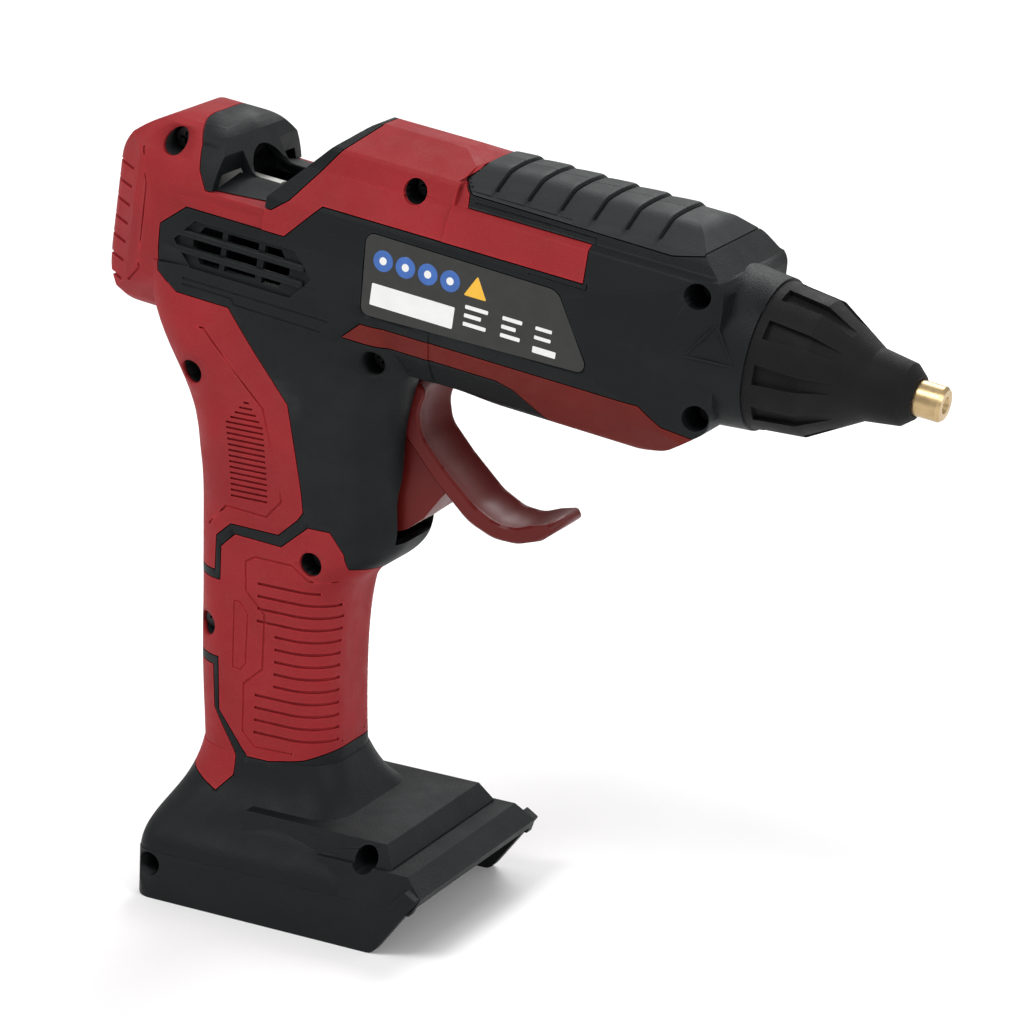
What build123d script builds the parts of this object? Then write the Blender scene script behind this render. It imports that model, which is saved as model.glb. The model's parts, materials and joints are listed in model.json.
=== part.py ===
from build123d import *
from math import cos, radians, sin
import os

# Cordless hot-melt glue gun without its battery, in millimetres.
#
# +X runs forward to the nozzle, +Y to the left hand side, +Z up. The origin is on the surface the foot
# stands on, under the middle of the bounding box. The barrel points down a little, so everything in it
# is drawn on BARREL, whose local x is the distance u along the glue stick's axis and whose local y is
# the height v above that axis. Handle and foot are drawn on SIDE: x forward from the handle's centre
# line, y up from the ground. Both planes face the right hand side.

# ---- driving dimensions --------------------------------------------------------------------------
BARREL_TILT = 6.2          # the barrel points this many degrees below the horizontal
AXIS_HEIGHT = 198.6        # stick axis above the ground, over the handle's centre line
HANDLE_X = -72.17          # handle's centre line, from the middle of the bounding box

STICK_R = 5.6              # standard 11.2 mm glue stick
GUIDE_BORE_R = 6.15        # the rear guide a stick slides into
GUIDE_R = 7.7
WALL = 3.0                 # moulded housing wall
SKIN = 1.5                 # soft grip moulded into pockets in the wall
GAP = 0.35                 # dark line around each soft grip

BODY_HALF = 27.0           # half width of the barrel housing
FOOT_HALF = 38.0           # half width of the battery foot
SEAM_U = 146.8             # where the nozzle sleeve meets the housing
TIP_U = 196.7              # front end of the brass tip

SCREW_R = 1.5
SCREW_HEAD_R = 2.9
SCREW_WELL_R = 3.6
BOSS_R = 4.9
PILOT_R = 1.55

PULL_DEG = 22.0            # full travel of the trigger
ARM_LENGTH = 22.8          # trigger pivot to link pin
PIVOT_UV = (41.0, -26.8)   # trigger pivot, on the barrel plane
LINK_LENGTH = 18.0
LINK_Y = 14.4              # mid plane of each drive link

TILT = radians(BARREL_TILT)
FORWARD = (cos(TILT), 0, -sin(TILT))
SIDE = Plane(origin=(HANDLE_X, 0, 0), x_dir=(1, 0, 0), z_dir=(0, -1, 0))
BARREL = Plane(origin=(HANDLE_X, 0, AXIS_HEIGHT), x_dir=FORWARD, z_dir=(0, -1, 0))
STICK_AXIS = Axis((HANDLE_X, 0, AXIS_HEIGHT), FORWARD)

parts = {}


# ---- small helpers -------------------------------------------------------------------------------
def uv(u, v, y=0.0):
    """The point at (u, v) on the barrel plane, y to the left of it."""
    return (HANDLE_X + u * cos(TILT) + v * sin(TILT), y, AXIS_HEIGHT - u * sin(TILT) + v * cos(TILT))


def to_uv(x, z):
    """Handle coordinates x, z as u, v on the barrel plane."""
    rise = z - AXIS_HEIGHT
    return (x * cos(TILT) - rise * sin(TILT), x * sin(TILT) + rise * cos(TILT))


def station(u):
    """Cross-section plane at u: local x to the left, local y along v, normal forward."""
    return Plane(origin=uv(u, 0), x_dir=(0, 1, 0), z_dir=FORWARD)


def prism(plane, outline, near, far, radii=0.0, shrink=0.0):
    """Outline on a side plane, made smaller all round, from near to far towards the right hand side."""
    with BuildPart() as solid:
        with BuildSketch(plane.offset(near)):
            with BuildLine():
                if radii:
                    FilletPolyline(*outline, radius=radii, close=True)
                else:
                    Polyline(*outline, close=True)
            make_face()
            if shrink:
                offset(amount=-shrink)
        extrude(amount=far - near)
    return solid.part


def turned(profile, radii=0.0):
    """Solid of revolution about the stick axis from (u, r) points."""
    with BuildPart() as solid:
        with BuildSketch(BARREL):
            with BuildLine():
                if radii:
                    FilletPolyline(*profile, radius=radii, close=True)
                else:
                    Polyline(*profile, close=True)
            make_face()
        revolve(axis=STICK_AXIS)
    return solid.part


def ring(inner, outer, start, end):
    """Plain tube about the stick axis."""
    return turned([(start, inner), (end, inner), (end, outer), (start, outer)])


def cross_rod(plane, at, radius, near, far):
    """Round bar square to the side plane, from near to far towards the right hand side."""
    with BuildPart() as rod:
        with BuildSketch(plane.offset(near)):
            with Locations(at):
                Circle(radius)
        extrude(amount=far - near)
    return rod.part


def joined(*solids):
    with BuildPart() as whole:
        for solid in solids:
            add(solid)
    return whole.part


def cut(solid, *tools):
    with BuildPart() as result:
        add(solid)
        for tool in tools:
            add(tool, mode=Mode.SUBTRACT)
    return result.part


def common(solid, tool):
    with BuildPart() as result:
        add(solid)
        add(tool, mode=Mode.INTERSECT)
    return result.part


def keep(name, solid):
    """Label a finished piece and remember it for export."""
    solid.label = name
    parts[name] = solid


# ---- outer form of the gun -----------------------------------------------------------------------
# Each form takes an inset, so that the same outlines give the outside, the floor of the grip pockets
# and the inside of the wall.
BARREL_OUTLINE = [
    (-20, 24.0), (-10.5, 10.3), (2, 10.3), (22.5, 33.5), (50, 33.5), (57, 31.2),
    (60, 32.5), (124, 32.3), (138, 20.5), (140, -19), (128, -28.5), (116, -32), (88, -33.5),
    (66, -29.5), (20, -31), (-24, -34.5), (-40, -33), (-48, -25), (-50.5, -14), (-50.5, 24.2)]
BARREL_RADII = [9, 4, 3, 4, 3, 1.5, 1.5, 8, 5, 5, 12, 40, 45, 45, 5, 5, 8, 8, 14, 23]
HOOD_SECTION = [(0, 24.2), (9, 24.2), (19, 19.5), (25, 9), (27, 0), (27, -12), (24, -24), (17, -33),
                (0, -35)]
HOOD_RADII = [20, 20, 30, 40, 30, 12, 7]
BLOCK_SECTION = [(0, 33.5), (4, 33.5), (20, 28), (21.6, 21.5), (26.6, 11), (27, 0), (26.6, -12), (24, -22),
                 (17, -31), (0, -33.5)]
BLOCK_RADII = [2.5, 2.0, 1.2, 4, 20, 20, 8, 8]
COVER_SECTION = [(0, 32.5), (9, 32), (18.6, 26.5), (20.2, 22.6), (23, 21.2), (26.6, 11), (27, 0),
                 (26.4, -12), (23.5, -22), (16, -31.5), (0, -33.5)]
COVER_RADII = [9, 4, 1, 1.0, 4, 20, 20, 8, 8]
PLAN_OUTLINE = [(-51, 0), (-51, 16), (-34, BODY_HALF), (100, BODY_HALF), (124, BODY_HALF - 2.5), (142, 20),
                (142, 0)]
PLAN_RADII = [9, 24, 30, 10, 2]


def section_slab(outline, radii, start, end, inset):
    """Half outline mirrored about the middle, as a slab of the barrel from start to end."""
    with BuildPart() as slab:
        with BuildSketch(station(start)):
            with BuildLine():
                FilletPolyline(*outline, radius=radii)
                mirror(about=Plane.YZ)
            make_face()
            if inset:
                offset(amount=-inset)
        extrude(amount=end - start)
    return slab.part


def barrel_form(inset=0.0):
    with BuildPart() as silhouette:
        with BuildSketch(BARREL):
            with BuildLine():
                FilletPolyline(*BARREL_OUTLINE, radius=BARREL_RADII, close=True)
            make_face()
            if inset:
                offset(amount=-inset)
        extrude(amount=BODY_HALF + 5, both=True)
    with BuildPart() as plan_form:
        with BuildSketch(Plane(origin=uv(0, -50), x_dir=FORWARD, z_dir=BARREL.y_dir)):
            with BuildLine():
                FilletPolyline(*PLAN_OUTLINE, radius=PLAN_RADII)
                mirror(about=Plane.XZ)
            make_face()
            if inset:
                offset(amount=-inset)
        extrude(amount=100)
    slabs = [section_slab(HOOD_SECTION, HOOD_RADII, -52, 3, inset),
             section_slab(BLOCK_SECTION, BLOCK_RADII, 3, 57, inset),
             section_slab(COVER_SECTION, COVER_RADII, 57, 141, inset)]
    body = common(common(joined(*slabs), silhouette.part), plan_form.part)
    with BuildPart() as shelf:
        with BuildSketch(station(-15)):
            with BuildLine():
                Polyline((10, 10.3 - inset), (30, 6.3 - inset), (30, 30), (10, 30), close=True)
            make_face()
            mirror(about=Plane.YZ)
        extrude(amount=18)
    nose_r = 22.2 - inset
    nose = turned([(104, 0), (104, 20), (116, 25.4 - inset), (124, 25.2 - inset), (137, nose_r),
                   (SEAM_U - inset, nose_r - 1), (SEAM_U - inset, 0)])
    return joined(cut(body, shelf.part), nose)


HANDLE_STATIONS = [          # height, rear, front, half width, corner radius
    (30, -20.5, 24.5, 18.5, 12), (45, -21.5, 23.2, 17.3, 12), (62, -22.8, 22.6, 17, 12),
    (80, -23.3, 22.8, 17, 12), (94, -23.6, 24.6, 17, 12), (99, -23.6, 28.5, 17.2, 12),
    (104, -23.6, 35.5, 17.4, 12), (109, -23.6, 40.0, 17.6, 12), (116, -23.6, 41.5, 17.9, 12),
    (130, -24.0, 41.5, 19.6, 12), (142, -24.6, 41.8, 22, 12), (152, -27.5, 43, 24, 12),
    (162, -32, 45.5, 25.6, 12), (173, -36, 47.5, 26.4, 12), (186, -40, 50, 26.7, 12)]
ROOF_STATIONS = [            # height, rear, front, half width, corner radius of the foot's roof
    (14.0, -27.4, 44.0, 37.9, 6), (19.0, -27.2, 42.0, 36.4, 7), (24.0, -26.2, 37.0, 31.0, 9),
    (32.0, -23.4, 29.0, 21.6, 11), (42.0, -21.4, 23.6, 17.6, 12)]


def handle_form(inset=0.0):
    """Straight grip below, and above it the wider throat that the trigger's slot is cut in."""
    lofts = []
    for stations in (HANDLE_STATIONS[:5], HANDLE_STATIONS[4:]):
        with BuildPart() as section:
            for height, rear, front, half, corner in stations:
                with BuildSketch(Plane.XY.offset(height)):
                    with Locations((HANDLE_X + (rear + front) / 2, 0)):
                        RectangleRounded(front - rear - 2 * inset, 2 * (half - inset), corner - inset)
            loft()
        lofts.append(section.part)
    return joined(*lofts)


def foot_form(inset=0.0):
    """Foot with its roof; the inside of the wall has no tray, because the battery bay is cut there."""
    half = FOOT_HALF - inset
    with BuildPart() as block:
        for height, trim, front in ((12.0, 0.8, 53.6), (24.0, 7.0, 53.6), (29.4 - inset, 10.0, 50.0)):
            with BuildSketch(Plane.XY.offset(height)):
                with Locations((HANDLE_X + (front + 4) / 2, 0)):
                    Rectangle(front - 4 - 2 * inset, 2 * (half - trim))
        loft(ruled=True)
    with BuildPart() as roof:
        for height, rear, front, side, corner in ROOF_STATIONS:
            with BuildSketch(Plane.XY.offset(height)):
                with Locations((HANDLE_X + (rear + front) / 2, 0)):
                    RectangleRounded(front - rear - 2 * inset, 2 * (side - inset), corner - inset)
        loft()
    if inset >= WALL:
        return joined(block.part, roof.part)
    tray = prism(SIDE, [(-27.5, 0), (51.5, 0), (65, 18.6), (61.2, 20.9), (56, 14.6), (-27.5, 14.6)], -half,
                 half, [3, 4, 0.4, 0.4, 1, 1], inset)
    with BuildPart() as plan_form:
        with BuildSketch():
            with Locations((HANDLE_X + 21.25, 0)):
                RectangleRounded(97.5 - 2 * inset, 2 * half, 6 - inset)
        extrude(amount=30)
    lip = [(30, 8), (60, 8), (65.1 - inset, 18.6), (59.6 - inset, 23.4 - inset), (30, 23.4 - inset)]
    with BuildPart() as wing:
        for height, trim in ((14.0, 0.0), (23.4 - inset, 5.0)):
            with BuildSketch(Plane.XY.offset(height)):
                with Locations((HANDLE_X + 50, 0)):
                    Rectangle(40 - 2 * inset, 2 * (half - trim))
        loft()
    lip_form = common(wing.part, prism(SIDE, lip, -50, 50))
    return joined(common(tray, plan_form.part), lip_form, block.part, roof.part)


def gun_form(inset=0.0):
    return joined(barrel_form(inset), handle_form(inset), foot_form(inset))


# ---- the two moulded halves and their soft grips -------------------------------------------------
OUTER = gun_form()
POCKET_FLOOR = gun_form(SKIN)
INNER = gun_form(WALL)
GROOVE_FLOOR = gun_form(0.7)


def half_space(side):
    """Everything on one side of the parting plane: side is -1 for the right hand side."""
    return prism(SIDE, [(-80, -20), (160, -20), (160, 260), (-80, 260)], 0, -60 * side)


def xz(u, v):
    """u, v on the barrel plane as handle coordinates."""
    point = uv(u, v)
    return (point[0] - HANDLE_X, point[2])


BODY_GRIP = [xz(98.5, 22.2), xz(99.8, 13), xz(20, 13), xz(10, 2), xz(-21.5, 2), xz(-29, -4.7),
             xz(-28.5, -18.7), xz(-21.5, -23.2), xz(-4.7, -23.2), (7, 156.5), (11, 150.5), (13.8, 118),
             (12, 115.5), (6, 110), (-9.5, 110.5), (-14.5, 106), (-15, 95.5), (-45, 95.5), (-75, 175),
             (-60, 250), xz(-27, 60), xz(-27, 23), xz(-23, 18), xz(-20.6, 12), xz(-17, 7.3), xz(5, 8.0),
             xz(10, 12), xz(24.5, 33), xz(24.5, 45), xz(58.5, 45), xz(58.5, 31), xz(56.3, 28.5),
             xz(60, 25.6), xz(60.8, 22.2)]
LOWER_GRIP = [(15.5, 113.6), (22.5, 113.6), (27, 108), (28, 103.2), (46, 103.2), (46, 48), (24, 46.5),
              (16, 43.5), (5, 41.4), (-2, 41.4), (-4, 43.5), (-12, 53.5), (-12.8, 69.5), (-40, 69.5),
              (-40, 92.5), (-12.8, 92.5), (-12.5, 103), (-8, 107.3), (7, 106.3)]
TAIL_GRIP = [(-40, 66.5), (-14.8, 66.5), (-14, 53.8), (-5.8, 40.8), (-5.5, 35.5), (-9.5, 31), (-16, 33.5),
             (-40, 40)]
BELLY_GRIP = [xz(36.5, -16.4), xz(120.5, -16.2), xz(127.5, -20.6), xz(138, -22.4), xz(138, -45),
              xz(95, -45), xz(93.5, -32), xz(88, -27.2), xz(83, -22.9), xz(78, -21.4), xz(31.5, -21.4)]
RIB_COVER = [xz(59.2, 45), xz(59.2, 31.4), xz(57.2, 28.6), xz(61, 25.9), xz(121, 25.2), xz(129.5, 27),
             xz(133, 45)]
GRIPS = (("body_grip", BODY_GRIP), ("handle_grip", LOWER_GRIP), ("tail_grip", TAIL_GRIP),
         ("belly_strip", BELLY_GRIP), ("rib_cover", RIB_COVER))


def pocket_outline(outline):
    """The outline grown by the gap, as a tall slab through the housing."""
    with BuildPart() as slab:
        with BuildSketch(SIDE.offset(-60)):
            with BuildLine():
                Polyline(*outline, close=True)
            make_face()
            offset(amount=GAP)
        extrude(amount=120)
    return slab.part


SCREWS = [                   # (u, v) of each case screw, depth of its head's seat, reach into the left half
    ((-31, 17), 12, 12), ((45, 23), 12, 12), ((131.5, 17.3), 10, 10), ((136, -16), 10, 10),
    (PIVOT_UV, 16, 19), (to_uv(16.5, 103), 8, 10), (to_uv(-19.8, 155), 8, 12), (to_uv(-18, 78), 8, 10),
    (to_uv(45, 24.8), 18, 12), (to_uv(-22, 10.5), 26, 12)]


def screw_columns():
    """Solid bosses across the inside of the housing that the case screws pass through."""
    columns = [cross_rod(BARREL, at, BOSS_R, -40, 40) for at, seat, reach in SCREWS]
    return cut(joined(*columns), cross_rod(BARREL, PIVOT_UV, BOSS_R + 1, -11.2, 11.2))


def screw_holes(side):
    holes = []
    for at, seat, reach in SCREWS:
        if side < 0:
            holes.append(cross_rod(BARREL, at, 1.7, 0, seat + 1))
            holes.append(cross_rod(BARREL, at, SCREW_WELL_R, seat, 50))
        else:
            holes.append(cross_rod(BARREL, at, PILOT_R, 0, -reach - 1))
    return holes


def barrel_box(u0, u1, v0, v1, y0, y1):
    """Block square to the barrel, y measured to the left."""
    return prism(BARREL, [(u0, v0), (u1, v0), (u1, v1), (u0, v1)], -y1, -y0)


def side_box(x0, x1, z0, z1, y0, y1):
    """Upright block in handle coordinates, y measured to the left."""
    return prism(SIDE, [(x0, z0), (x1, z0), (x1, z1), (x0, z1)], -y1, -y0)


BAY = side_box(-17, 80, -5, 16, -35, 35)
LABEL_OUTLINE = [(34.5, 10.3), (93.5, 9.6), (106.5, -11.3), (36, -13.5)]
LABEL_RADII = [3, 5, 2.5, 3]
BUTTON_UV = (61, 0)          # power button on the left hand side
LED_UV = (80, 0)


def stick_tunnel():
    """Round cut along the stick that opens the loading window between hood and block."""
    with BuildPart() as tunnel:
        with BuildSketch(station(-24)):
            with Locations((0, 6.8)):
                Circle(10)
        extrude(amount=34)
    return tunnel.part


def guide_seat():
    """Bore for the rear guide, wider inside where its collar sits."""
    radius = GUIDE_R + 0.05
    return turned([(-60, 0), (-60, radius), (-47.25, radius), (-47.25, 9.45), (-40, 9.45), (-40, 0)])


def support_rib(u, hole):
    """Plate across the inside of the barrel with a round hole about the stick axis."""
    with BuildPart() as rib:
        with BuildSketch(station(u)):
            Rectangle(60, 80)
            Circle(hole, mode=Mode.SUBTRACT)
        extrude(amount=2.5)
    return rib.part


def vent_slots(side):
    """Openings of the side vent: three columns of slots with the outer corners cut off."""
    near, far = -side * 20, -side * 30
    slots = [prism(BARREL, [(start, -13.4), (end, -13.4), (end, -2.5), (start, -2.5)], near, far)
             for start, end in ((-18.4, -9.4), (-7.8, 2.2), (4.2, 12.6))]
    corners = [prism(BARREL, [(edge, -8), (edge, -8 + rise), (edge + run, -8 + rise)], near, far)
               for edge, run in ((-19, 4), (13, -4)) for rise in (-6, 6)]
    return cut(joined(*slots), *corners)


def vent_bars(side):
    """Two round bars along the vent, standing a little proud."""
    bars = []
    for height in (-5.7, -10.4):
        with BuildPart() as bar:
            with BuildSketch(station(-24.5)):
                with Locations((side * 26.0, height)):
                    Circle(1.15)
            extrude(amount=42)
            fillet(bar.edges(), radius=0.8)
        bars.append(bar.part)
    return joined(*bars)


def whole_housing():
    """Both halves in one: pockets for the grips, hollow inside, ribs, bosses, rails and openings."""
    slabs = [pocket_outline(outline) for name, outline in GRIPS]
    body = joined(cut(OUTER, *slabs), POCKET_FLOOR)
    body = cut(body, cut(INNER, side_box(-80, 90, -5, 18.5, -60, 60)), BAY)
    inside = common(joined(support_rib(70.5, 16), support_rib(-24, GUIDE_R + 0.05), screw_columns()),
                    POCKET_FLOOR)
    rails = [barrel_box(8, 42, low, low + 2.1, *sorted((side * 18, side * 25)))
             for side in (-1, 1) for low in (1.5, 6.4)]
    rails += [side_box(-17.5, 50, 4.0, 6.5, *sorted((side * 31.5, side * 36))) for side in (-1, 1)]
    body = joined(body, inside, *rails)
    trigger_slot = prism(SIDE, [(24, 111.4), (50, 111.4), (50, 150), (49, 172), (28, 174), (24, 160)], -11,
                         11)
    nose_bore = turned([(132, 0), (132, 17.6), (160, 17.6), (160, 0)])
    sleeve_groove = ring(17, 19.3, 141.1, 143.5)
    terminal_hole = side_box(-14, -5, 15, 19.5, -10.2, 10.2)
    return cut(body, stick_tunnel(), nose_bore, sleeve_groove, guide_seat(), trigger_slot, terminal_hole)


def shell(side, housing):
    """One moulded half, with what only this side has."""
    vent_recess = prism(BARREL, [(-24, -8), (-18, -1.2), (14, -1.2), (20, -8), (14, -15), (-18, -15)],
                        -side * (BODY_HALF - 1.3), -side * 40)
    tools = [vent_recess, vent_slots(side), *screw_holes(side)]
    if side < 0:
        tools.append(prism(BARREL, LABEL_OUTLINE, BODY_HALF - 0.9, BODY_HALF + 5, LABEL_RADII))
    else:
        tools.append(cross_rod(BARREL, BUTTON_UV, 6.8, -10, -40))
        tools.append(cross_rod(BARREL, LED_UV, 1.65, -10, -40))
        tools.append(barrel_box(69.5, 74, -11.3, 11.3, 15.5, 18.6))
    return joined(cut(common(housing, half_space(side)), *tools), vent_bars(side))


def handle_grooves(side):
    """Level grooves across the handle grip."""
    bars = []
    for index in range(13):
        height = 94 - 3.75 * index
        rear = 5.5 if 4 <= index <= 8 else -0.5
        bars.append(side_box(rear, 23 if index else 19, height - 0.45, height + 0.45,
                             *sorted((side * 8, side * 30))))
    return bars


def body_grooves(side):
    """Fine grooves of the palm pad and the notches down the rear edge."""
    bars = []
    for index in range(18):
        height = 119 + 1.75 * index
        inset = max(0, index - 13) * 1.6
        bars.append(side_box(-9.5 + inset, 2.5 - inset * 0.6, height - 0.35, height + 0.35,
                             *sorted((side * 10, side * 30))))
    for index in range(7):
        height = 6.5 - 5.4 * index
        bars.append(barrel_box(-60, -42, height - 0.5, height + 0.5, *sorted((0, side * 24))))
    return bars


def cover_grooves(side):
    """Cuts between the ribs of the top cover."""
    return [barrel_box(66.5 + 9.8 * index, 67.4 + 9.8 * index, 27.5, 40, *sorted((0, side * 22)))
            for index in range(6)]


GROOVES = {"body_grip": body_grooves, "handle_grip": handle_grooves, "rib_cover": cover_grooves}
HOUSING = whole_housing()
for side, hand in ((-1, "right"), (1, "left")):
    keep(f"{hand}_shell", shell(side, HOUSING))
    half_form = common(OUTER, half_space(side))
    for name, outline in GRIPS:
        grip = cut(common(half_form, prism(SIDE, outline, -60, 60)), POCKET_FLOOR, *screw_holes(-1),
                   stick_tunnel(), guide_seat())
        if name in GROOVES:
            grip = cut(grip, cut(joined(*GROOVES[name](side)), GROOVE_FLOOR))
        keep(f"{hand}_{name}", grip)

# ---- label, nozzle and its sleeve ----------------------------------------------------------------
keep("label_plate", prism(BARREL, LABEL_OUTLINE, BODY_HALF - 0.9, BODY_HALF - 0.3, LABEL_RADII, 0.3))

SLEEVE = [(141.2, 15), (141.2, 19.2), (143.4, 19.2), (143.4, 17.5), (SEAM_U + 0.1, 17.5),
          (SEAM_U + 0.1, 20.5), (161.2, 18.9), (176.2, 10.1), (186, 8.7), (189, 6.2), (189, 5.15),
          (183.4, 5.15), (183.4, 7.7), (173, 7.7), (158.5, 15)]


def sleeve_flutes():
    """Ten tapering hollows around the cone."""
    with BuildPart() as flute:
        for u, floor, width in ((149.5, 18.5, 5.6), (161.5, 17.1, 4.2), (172, 12.9, 2.4)):
            with BuildSketch(station(u)):
                with Locations((0, floor + 5)):
                    Rectangle(width, 10)
        loft(ruled=True)
    return [flute.part.rotate(STICK_AXIS, 18 + 36 * index) for index in range(10)]


keep("nozzle_sleeve", cut(turned(SLEEVE), *sleeve_flutes()))
NOZZLE = [(176.5, 1.25), (176.5, 2.9), (183.3, 2.9), (183.3, 4.94), (195.8, 4.94), (TIP_U, 4.2),
          (TIP_U, 2.4), (194.2, 1.25)]
keep("nozzle", turned(NOZZLE))

# ---- melting train -------------------------------------------------------------------------------
CHAMBER = [(60, 6.2), (60, 7.5), (67, 7.5), (67, 11), (128, 11), (130, 7.6), (183.2, 7.6), (183.2, 2.95),
           (176.3, 2.95), (176.3, 2.0), (138, 2.0), (122, 6.2)]
fins = [ring(10.5, 13, start, start + 1.2) for start in (76, 79.5, 111, 114.5)]
keep("melt_chamber", joined(turned(CHAMBER), *fins))
keep("inlet_sleeve", turned([(47.5, 6.5), (59.9, 6.5), (59.9, 7.5), (67, 7.5), (67, 9.6), (50, 9.6),
                             (47.5, 8.4)]))
keep("rear_insulator", ring(11, 15.95, 70, 73.6))
keep("front_insulator", cut(ring(11, 18.5, 118, 122), barrel_box(116, 124, -30, -15.5, -30, 30)))
keep("heater", barrel_box(84, 108, 11.1, 14.6, -6, 6))
keep("heater_clip", cut(barrel_box(92, 99, -1, 15.7, -12.6, 12.6),
                        barrel_box(91, 100, -2, 14.7, -11.6, 11.6)))
keep("temperature_sensor", cross_rod(BARREL, (96, -12.9), 1.8, -5, 5))
keep("stick_guide", joined(turned([(-49.4, GUIDE_BORE_R), (-49.4, GUIDE_R), (-6.5, GUIDE_R),
                                   (-6.5, GUIDE_BORE_R)]),
                           turned([(-47.2, 7.5), (-47.2, 9.4), (-45, 9.4), (-45, 7.5)])))

# ---- feed mechanism ------------------------------------------------------------------------------
HALF_SWING = radians(PULL_DEG / 2)
LINK_PIN_UV = (PIVOT_UV[0] - ARM_LENGTH * sin(HALF_SWING), PIVOT_UV[1] + ARM_LENGTH * cos(HALF_SWING))
LINK_DROP = ARM_LENGTH * (1 - cos(HALF_SWING)) / 2
TRUNNION_UV = (LINK_PIN_UV[0] - LINK_LENGTH, LINK_PIN_UV[1] + LINK_DROP)
JAW_PIN_UV = (16.5, -11.6)

carriage = joined(ring(STICK_R + 0.4, 9, 12, 26), barrel_box(13, 25, 4.0, 6.0, -20.5, 20.5),
                  barrel_box(13, 20, -13.2, -6.5, -7.2, 7.2),
                  cross_rod(BARREL, TRUNNION_UV, 1.6, -15.7, 15.7))
carriage = cut(carriage, ring(0, STICK_R + 0.4, 10, 28), barrel_box(12, 27, -14, -4, -4.6, 4.6),
               cross_rod(BARREL, JAW_PIN_UV, 1.0, -10, 10))
keep("feed_carriage", carriage)
keep("jaw_pin", cross_rod(BARREL, JAW_PIN_UV, 1.0, -7.2, 7.2))
jaw = joined(cross_rod(BARREL, JAW_PIN_UV, 2.2, -4.2, 4.2),
             prism(BARREL, [(16.5, -13.2), (22.4, -9.8), (24, -6.6), (22.2, -6.8), (21, -8.6), (16, -9.8)],
                   -4.2, 4.2))
keep("gripper_jaw", cut(jaw, cross_rod(BARREL, JAW_PIN_UV, 1.06, -10, 10)))

links = []
for side in (-1, 1):
    with BuildPart() as link:
        with BuildSketch(BARREL.offset(side * LINK_Y - 0.9)):
            with Locations(((TRUNNION_UV[0] + LINK_PIN_UV[0]) / 2, LINK_PIN_UV[1])):
                SlotCenterToCenter(LINK_LENGTH, 7)
            with Locations(LINK_PIN_UV):
                Circle(1.66, mode=Mode.SUBTRACT)
            with Locations((LINK_PIN_UV[0] - LINK_LENGTH, LINK_PIN_UV[1])):
                Circle(2.1, mode=Mode.SUBTRACT)
        extrude(amount=1.8)
    links.append(link.part)
keep("drive_links", Compound(children=links))
pins = [cross_rod(BARREL, LINK_PIN_UV, 1.6, side * 10.2, side * 15.7) for side in (-1, 1)]
keep("link_pins", Compound(children=pins))

# ---- trigger -------------------------------------------------------------------------------------
BLADE = [(36, 161), (47.5, 158.5), (44.8, 151), (46, 144.4), (53, 136.6), (63, 127.2), (70, 123.5),
         (76, 122.9), (81, 124.8), (86.2, 126.0), (87.6, 123.6), (84.5, 121.0), (77, 118.6), (69.5, 118.8),
         (61.5, 122.2), (50, 133.0), (40.5, 144.0), (36, 152)]
BLADE_RADII = [3, 3, 8, 8, 12, 12, 8, 8, 6, 1.2, 1.2, 6, 9, 12, 14, 10, 8, 6]
SKIRT = [(34, 161), (44, 157), (43, 146), (55, 130), (52.2, 127), (47.4, 120.4), (42, 116), (34, 112.6),
         (24.5, 111.8), (22.5, 130), (27, 150)]
PIVOT_XZ = xz(*PIVOT_UV)


def trigger_lever():
    blade = prism(SIDE, BLADE, -10, 10, BLADE_RADII)
    with BuildPart() as rounded:
        add(blade)
        chamfer(rounded.faces().sort_by(Axis.Y)[0].edges() + rounded.faces().sort_by(Axis.Y)[-1].edges(),
                length=0.7)
    skirt = cut(prism(SIDE, SKIRT, -8.4, 8.4), side_box(15, 39, 100, 152, -6, 6))
    hub = cross_rod(BARREL, PIVOT_UV, 5.5, -6, 6)
    neck = prism(BARREL, [(36, -40), (46, -38), (44.5, -15), (37, -15)], -6, 6)
    yoke = prism(BARREL, [(35.6, -19.5), (43.6, -19.5), (42.6, -14.5), (34.6, -14.5)], -13.1, 13.1)
    arms = []
    for side in (-1, 1):
        with BuildPart() as arm:
            with BuildSketch(BARREL.offset(side * 11.65 - 1.45)):
                with BuildLine():
                    Polyline((35.8, -18), (42.6, -16), (LINK_PIN_UV[0] + 3.4, LINK_PIN_UV[1]),
                             (LINK_PIN_UV[0] - 3.4, LINK_PIN_UV[1]), close=True)
                make_face()
                with Locations(LINK_PIN_UV):
                    Circle(3.4)
            extrude(amount=2.9)
        arms.append(arm.part)
    lever = joined(rounded.part, skirt, hub, neck, yoke, *arms)
    return cut(lever, cross_rod(BARREL, PIVOT_UV, 3.56, -20, 20),
               cross_rod(BARREL, LINK_PIN_UV, 1.6, -20, 20))


keep("trigger", trigger_lever())
bush = cut(cross_rod(BARREL, PIVOT_UV, 3.5, -10.9, 10.9), cross_rod(BARREL, PIVOT_UV, 1.75, -20, 20))
keep("trigger_bush", bush)


def torsion_spring():
    """Coil around the trigger's bush, left of its hub, with one straight leg at each end."""
    with BuildPart() as coil:
        with BuildLine() as turns:
            Helix(pitch=0.95, height=2.85, radius=4.3, center=uv(*PIVOT_UV, 6.8), direction=(0, 1, 0))
        with BuildSketch(Plane(origin=turns.line @ 0, z_dir=turns.line % 0)):
            Circle(0.4)
        sweep()
    return coil.part


keep("trigger_spring", torsion_spring())


# ---- electrics -----------------------------------------------------------------------------------
def wire(points, radius, bend):
    with BuildPart() as strand:
        with BuildLine() as path:
            FilletPolyline(*points, radius=bend)
        with BuildSketch(Plane(origin=path.line @ 0, z_dir=path.line % 0)):
            Circle(radius)
        sweep()
    return strand.part


def at_side(x, y, z):
    return (HANDLE_X + x, y, z)


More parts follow.
